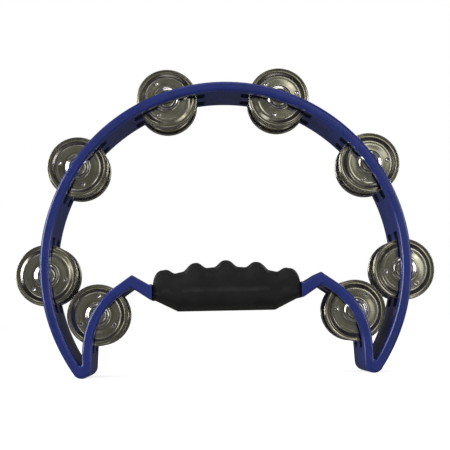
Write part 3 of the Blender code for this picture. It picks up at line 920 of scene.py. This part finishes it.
def blue_plastic(settings):
    material, tree, shader = new_material(
        "blue_plastic_moulding", settings.tint,
        Metallic=0.0, IOR=1.5, Coat_Weight=0.5, Coat_Roughness=0.16,
    )
    grain = place_group(
        tree, "moulded_grain", Grain_Scale=2200.0, Swell_Scale=70.0, Swell_Share=0.35
    )
    wear = place_group(tree, "edge_wear", Sharpness=0.54, Break_Scale=160.0)
    marks = place_group(tree, "handling", Smudge_Scale=38.0, Scuff_Scale=700.0)
    deep = tuple(channel * PLASTIC_DEEP for channel in settings.tint)
    base = mixed(tree, grain.outputs["Mottle"], deep, settings.tint)
    worn = math_node(tree, "MULTIPLY", wear.outputs["Mask"], PLASTIC_WEAR)
    rubbed = mixed(tree, worn, base, settings.worn_tint)
    # Painted shade: the long sides of the slots are darkened towards the slot colour
    slot_shaded = mixed(tree, slot_shade_mask(tree), rubbed, settings.slot_shade_tint)
    tree.links.new(slot_shaded, shader.inputs["Base Color"])
    rough = spread(tree, marks.outputs["Smudge"], PLASTIC_ROUGHNESS)
    scuffed = raised(tree, rough, marks.outputs["Scuff"], PLASTIC_SCUFF)
    tree.links.new(scuffed, shader.inputs["Roughness"])
    bump(tree, shader, grain.outputs["Height"], PLASTIC_GRAIN)
    return material


def grip_rubber(settings):
    material, tree, shader = new_material(
        "black_grip_rubber", settings.tint, Metallic=0.0, IOR=1.45, Specular_IOR_Level=0.25
    )
    grain = place_group(
        tree, "moulded_grain", Grain_Scale=3600.0, Swell_Scale=90.0, Swell_Share=0.15
    )
    wear = place_group(tree, "edge_wear", Sharpness=0.52, Break_Scale=120.0)
    marks = place_group(tree, "handling", Smudge_Scale=60.0, Scuff_Scale=500.0)
    dust = math_node(tree, "MULTIPLY", marks.outputs["Smudge"], RUBBER_DUST)
    dusty = mixed(tree, dust, settings.tint, settings.worn_tint)
    rubbed = mixed(tree, wear.outputs["Mask"], dusty, settings.worn_tint)
    tree.links.new(rubbed, shader.inputs["Base Color"])
    rough = spread(tree, marks.outputs["Smudge"], RUBBER_ROUGHNESS)
    tree.links.new(rough, shader.inputs["Roughness"])
    bump(tree, shader, grain.outputs["Height"], RUBBER_GRAIN)
    return material


def from_axis(tree):
    """Distance of a point from the piece's Y axis."""
    place = add_node(tree, "ShaderNodeTexCoord").outputs["Object"]
    parts = add_node(tree, "ShaderNodeSeparateXYZ", None, Vector=place)
    flat = add_node(
        tree, "ShaderNodeCombineXYZ", None, X=parts.outputs["X"], Y=parts.outputs["Z"]
    )
    reach = add_node(tree, "ShaderNodeVectorMath", {"operation": "LENGTH"}, i0=flat.outputs[0])
    return reach.outputs["Value"]


def nickel_plate(settings):
    material, tree, shader = new_material(
        "nickel_plate_polished", settings.tint, Metallic=1.0
    )
    wear = place_group(tree, "edge_wear", Sharpness=0.56, Break_Scale=300.0)
    marks = place_group(tree, "handling", Smudge_Scale=110.0, Scuff_Scale=1500.0)
    radius = from_axis(tree)
    ring = add_node(tree, "ShaderNodeCombineXYZ", None, X=radius).outputs[0]
    turning = noise(tree, ring, TURNING_SCALE, detail=2.0, roughness=0.7)
    # Painted shade, partly dulled plate: the nickel darkens from the bead outwards and round the
    # foot of the dome
    on_brim = ranged(tree, radius, BRIM_SHADE_RADII)
    past_dome = ranged(tree, radius, DOME_FOOT_SHADE_RADII)
    before_face = ranged(tree, radius, DOME_SHADE_FADE_RADII, (1.0, 0.0))
    at_dome = math_node(tree, "MULTIPLY", past_dome, before_face)
    painted_shade = math_node(tree, "MAXIMUM", on_brim, at_dome)
    patches = spread(tree, marks.outputs["Smudge"], SHADE_AND_DULL_SHARE)
    patchy = math_node(tree, "MULTIPLY", painted_shade, patches)
    darkened_plate = mixed(tree, patchy, settings.tint, settings.shade_and_dull_tint)
    worn = math_node(tree, "MULTIPLY", wear.outputs["Mask"], NICKEL_WEAR)
    tree.links.new(mixed(tree, worn, darkened_plate, BARE_NICKEL), shader.inputs["Base Color"])
    rough = spread(tree, marks.outputs["Smudge"], NICKEL_ROUGHNESS)
    rough = raised(tree, rough, turning, TURNING_ROUGHNESS)
    rough = raised(tree, rough, marks.outputs["Scuff"], NICKEL_SCUFF)
    tree.links.new(rough, shader.inputs["Roughness"])
    bump(tree, shader, turning, TURNING_DEPTH)
    return material


def pin_steel(settings):
    material, tree, shader = new_material("bright_pin_steel", settings.tint, Metallic=1.0)
    marks = place_group(tree, "handling", Smudge_Scale=400.0, Scuff_Scale=2500.0)
    worn = tuple(channel * STEEL_WORN for channel in settings.tint)
    smudged = mixed(tree, marks.outputs["Smudge"], settings.tint, worn)
    tree.links.new(smudged, shader.inputs["Base Color"])
    rough = spread(tree, marks.outputs["Scuff"], STEEL_ROUGHNESS)
    tree.links.new(rough, shader.inputs["Roughness"])
    grain = place_group(
        tree, "moulded_grain", Grain_Scale=6000.0, Swell_Scale=900.0, Swell_Share=0.3
    )
    bump(tree, shader, grain.outputs["Height"], STEEL_GRAIN)
    return material


def floor_paint(tint):
    """Pale paint that glows a little, so that the floor stays close to white."""
    material, tree, shader = new_material(
        "floor_paint", tint, Roughness=0.85, Emission_Strength=FLOOR_GLOW
    )
    grain = place_group(
        tree, "moulded_grain", Grain_Scale=300.0, Swell_Scale=3.0, Swell_Share=0.5
    )
    faint = tuple(channel * FLOOR_FAINT for channel in tint)
    mottled = mixed(tree, grain.outputs["Mottle"], faint, tint)
    tree.links.new(mottled, shader.inputs["Base Color"])
    shader.inputs["Emission Color"].default_value = (*tint, 1.0)
    return material


# Stage


def floor_mesh():
    half = FLOOR_HALF
    corners = [(-half, -half, 0.0), (half, -half, 0.0), (half, half, 0.0), (-half, half, 0.0)]
    return mesh_from("floor", corners, [(0, 1, 2, 3)])


def add_lamp(name, place, size, power):
    """A rectangular lamp that faces the middle of the arc."""
    lamp = bpy.data.lights.new(name, "AREA")
    lamp.shape, lamp.size, lamp.size_y = "RECTANGLE", *size
    lamp.energy = power
    holder = bpy.data.objects.new(name, lamp)
    holder.location = place
    way = Vector((0.0, 0.0, ARC_HEIGHT)) - Vector(place)
    holder.rotation_euler = way.to_track_quat("-Z", "Y").to_euler()
    bpy.context.scene.collection.objects.link(holder)


def room_colours(tree, way):
    """The rings of the room, swaying a little, with gaps in the bright ones."""
    axis = tuple(ROOM_AXIS)
    toward = add_node(
        tree, "ShaderNodeVectorMath", {"operation": "DOT_PRODUCT"}, i0=way, i1=axis
    )
    angle = math_node(tree, "ARCCOSINE", toward.outputs["Value"])
    swaying = noise(tree, way, SWAY_SCALE, detail=2.0)
    sway = ranged(tree, swaying, (0.3, 0.7), (-RING_SWAY, RING_SWAY))
    share = ranged(tree, math_node(tree, "ADD", angle, sway), (0.0, math.pi))
    ramp = add_node(tree, "ShaderNodeValToRGB", None, Fac=share)
    stops = ramp.color_ramp.elements
    stops.remove(stops[1])
    for number, (degrees, tint) in enumerate(ROOM_RINGS):
        stop = stops.new(degrees / 180.0) if number else stops[0]
        stop.color = (*tint, 1.0)
    rings = ramp.outputs["Color"]
    plain = add_node(
        tree, "ShaderNodeVectorMath", {"operation": "MINIMUM"}, i0=rings, i1=RING_GAP
    )
    lit = ranged(tree, noise(tree, way, GAP_SCALE, detail=1.0), (0.46, 0.58))
    return mixed(tree, lit, plain.outputs[0], rings)


def room_light():
    """White to the eye; the discs reflect a dim room, with a pale ring round the viewer."""
    world = bpy.data.worlds.new("studio")
    world.use_nodes = True
    tree = world.node_tree
    way = add_node(tree, "ShaderNodeTexCoord").outputs["Generated"]
    rings = room_colours(tree, way)
    patches = ranged(tree, noise(tree, way, PATCH_SCALE, detail=2.0), (0.35, 0.65), PATCH_LIGHT)
    room = add_node(tree, "ShaderNodeVectorMath", {"operation": "SCALE"}, i0=rings, Scale=patches)
    path = add_node(tree, "ShaderNodeLightPath")
    soft = mixed(tree, path.outputs["Is Diffuse Ray"], room.outputs[0], FILL_LIGHT)
    seen = mixed(tree, path.outputs["Is Camera Ray"], soft, BACKDROP)
    tree.links.new(seen, tree.nodes["Background"].inputs["Color"])
    bpy.context.scene.world = world


def aim_camera(lens):
    """The viewpoint: low in front of the instrument, a little left of its middle, looking up."""
    camera = bpy.data.cameras.new("camera")
    camera.lens, camera.sensor_width = lens, CAMERA_SENSOR
    camera.clip_start, camera.clip_end = CAMERA_CLIP
    holder = bpy.data.objects.new("camera", camera)
    yaw, pitch, roll = CAMERA_YAW, CAMERA_PITCH, CAMERA_ROLL
    level = math.cos(pitch)
    ahead = Vector((math.sin(yaw) * level, math.cos(yaw) * level, math.sin(pitch)))
    right = Vector((math.cos(yaw), -math.sin(yaw), 0.0))
    up = right.cross(ahead)
    turned_right = right * math.cos(roll) + up * math.sin(roll)
    turned_up = up * math.cos(roll) - right * math.sin(roll)
    turn = Matrix((turned_right, turned_up, -ahead)).transposed()
    holder.matrix_world = Matrix.Translation(CAMERA_PLACE) @ turn.to_4x4()
    bpy.context.scene.collection.objects.link(holder)
    bpy.context.scene.camera = holder


# Operators


class TAMBOURINE_OT_effects(Operator):
    """Make the node groups that the finishes share"""

    bl_idname = "tambourine.effects"
    bl_label = "Shared effects"

    def execute(self, context):
        moulded_grain_group()
        edge_wear_group()
        handling_group()
        return {"FINISHED"}


class TAMBOURINE_OT_band(Operator):
    """Build the moulded band with its slots, straps, collars and pin bores"""

    bl_idname = "tambourine.band"
    bl_label = "Band"

    def execute(self, context):
        settings = context.scene.tambourine_band
        mesh, corners = band_mesh(settings)
        round_slots(mesh, corners, settings)
        band = add_object("band_moulding", mesh, blue_plastic(settings))
        cut_away(band, bore_cutter())
        band.data.set_sharp_from_angle(angle=SHARP_ANGLE)
        weigh_normals(band)
        stand_for(band, "frame", ROOT)
        return {"FINISHED"}


class TAMBOURINE_OT_grip(Operator):
    """Build the two halves of the hand grip"""

    bl_idname = "tambourine.grip"
    bl_label = "Grip"

    def execute(self, context):
        settings = context.scene.tambourine_grip
        rubber = grip_rubber(settings)

        def ridges(x):
            return ridge_line(x, settings.ridge_height)

        for name, node, edge_line, lip in (
            ("grip_upper_shell", "grip_upper", ridges, 0.0),
            ("grip_lower_shell", "grip_lower", belly_line, settings.seam_lip),
        ):
            rounding = max(settings.seam_rounding, lip)
            half = add_object(name, grip_mesh(name, edge_line, lip, rounding), rubber)
            weigh_normals(half)
            stand_for(half, node, ROOT)
        return {"FINISHED"}


class TAMBOURINE_OT_pins(Operator):
    """Build the eight pins that the discs turn on"""

    bl_idname = "tambourine.pins"
    bl_label = "Pins"

    def execute(self, context):
        settings = context.scene.tambourine_pin
        steel = pin_steel(settings)
        cut = settings.chamfer
        for side, number in product(SIDES, STATIONS):
            centre, front, back = pin_place(side, number)
            half = (back - front) / 2
            neck = half - PIN_HEAD_LENGTH
            profile = [(PIN_RADIUS - cut, -half), (PIN_RADIUS, cut - half), (PIN_RADIUS, neck)]
            profile.append((PIN_HEAD_RADIUS, neck))
            profile += [
                (PIN_HEAD_RADIUS - cut * (1 - math.cos(a)), half - cut * (1 - math.sin(a)))
                for a in evenly(0, math.pi / 2, PIN_HEAD_STEPS)
            ]
            node = f"pin_{side}_{number}"
            rod = turned(node, profile, PIN_STEPS, closed=False)
            pin = add_object(f"{node}_rod", rod, steel)
            pin.location = centre
            stand_for(pin, node, node)
        return {"FINISHED"}


class TAMBOURINE_OT_discs(Operator):
    """Build the jingle discs, four on each pin"""

    bl_idname = "tambourine.discs"
    bl_label = "Discs"

    def execute(self, context):
        settings = context.scene.tambourine_disc
        chance = random.Random(settings.spin_seed)
        low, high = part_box("jingle_left_1_a")
        mesh = disc_mesh((high.x - low.x) / 2, settings)
        nickel = nickel_plate(settings)
        for side, number, letter in product(SIDES, STATIONS, "abcd"):
            node = f"jingle_{side}_{number}_{letter}"
            self.place_disc(node, mesh, nickel, chance)
        return {"FINISHED"}

    def place_disc(self, node, mesh, nickel, chance):
        """Discs a and c face the front with their domes, b and d the back."""
        low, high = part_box(node)
        faces_front = node[-1] in "ac"
        turn = Matrix.Rotation(chance.uniform(0, math.tau), 4, "Y")
        if not faces_front:
            turn = Matrix.Rotation(math.pi, 4, "Z") @ turn
        plate = mesh.copy()
        plate.transform(turn)
        disc = add_object(f"{node}_plate", plate, nickel)
        rim = high.y if faces_front else low.y
        disc.location = ((low.x + high.x) / 2, rim, (low.z + high.z) / 2)
        stand_for(disc, node, node)


class TAMBOURINE_OT_stage(Operator):
    """Build the floor, the lamps, the room's light and the camera"""

    bl_idname = "tambourine.stage"
    bl_label = "Stage"

    def execute(self, context):
        settings = context.scene.tambourine_stage
        floor = add_object("floor", floor_mesh(), floor_paint(settings.floor_tint))
        floor.visible_glossy = False
        floor.visible_diffuse = False
        for lamp in LAMPS:
            add_lamp(*lamp)
        room_light()
        aim_camera(settings.lens)
        context.scene.view_settings.view_transform = "Standard"
        return {"FINISHED"}


class TAMBOURINE_PT_sidebar(Panel):
    bl_idname = "TAMBOURINE_PT_sidebar"
    bl_label = "Crescent tambourine"
    bl_space_type = "VIEW_3D"
    bl_region_type = "UI"
    bl_category = "Tambourine"

    def draw(self, context):
        self.layout.operator("tambourine.effects")
        for name, settings in PROPERTY_GROUPS.items():
            box = self.layout.box()
            for key in settings.__annotations__:
                box.prop(getattr(context.scene, name), key)
        for step in STEPS:
            self.layout.operator(step)


PROPERTY_GROUPS = {
    "tambourine_band": TAMBOURINE_PG_band,
    "tambourine_grip": TAMBOURINE_PG_grip,
    "tambourine_disc": TAMBOURINE_PG_disc,
    "tambourine_pin": TAMBOURINE_PG_pin,
    "tambourine_stage": TAMBOURINE_PG_stage,
}
OPERATORS = (
    TAMBOURINE_OT_effects,
    TAMBOURINE_OT_band,
    TAMBOURINE_OT_grip,
    TAMBOURINE_OT_pins,
    TAMBOURINE_OT_discs,
    TAMBOURINE_OT_stage,
)
STEPS = tuple(operator.bl_idname for operator in OPERATORS[1:])


def register():
    for name, settings in PROPERTY_GROUPS.items():
        bpy.utils.register_class(settings)
        setattr(bpy.types.Scene, name, PointerProperty(type=settings))
    for operator in OPERATORS:
        bpy.utils.register_class(operator)
    bpy.utils.register_class(TAMBOURINE_PT_sidebar)


def unregister():
    bpy.utils.unregister_class(TAMBOURINE_PT_sidebar)
    for operator in reversed(OPERATORS):
        bpy.utils.unregister_class(operator)
    for name, settings in PROPERTY_GROUPS.items():
        delattr(bpy.types.Scene, name)
        bpy.utils.unregister_class(settings)


def main():
    register()
    bpy.ops.tambourine.effects()
    bpy.ops.tambourine.band()
    bpy.ops.tambourine.grip()
    bpy.ops.tambourine.pins()
    bpy.ops.tambourine.discs()
    bpy.ops.tambourine.stage()


if __name__ == "__main__":
    main()
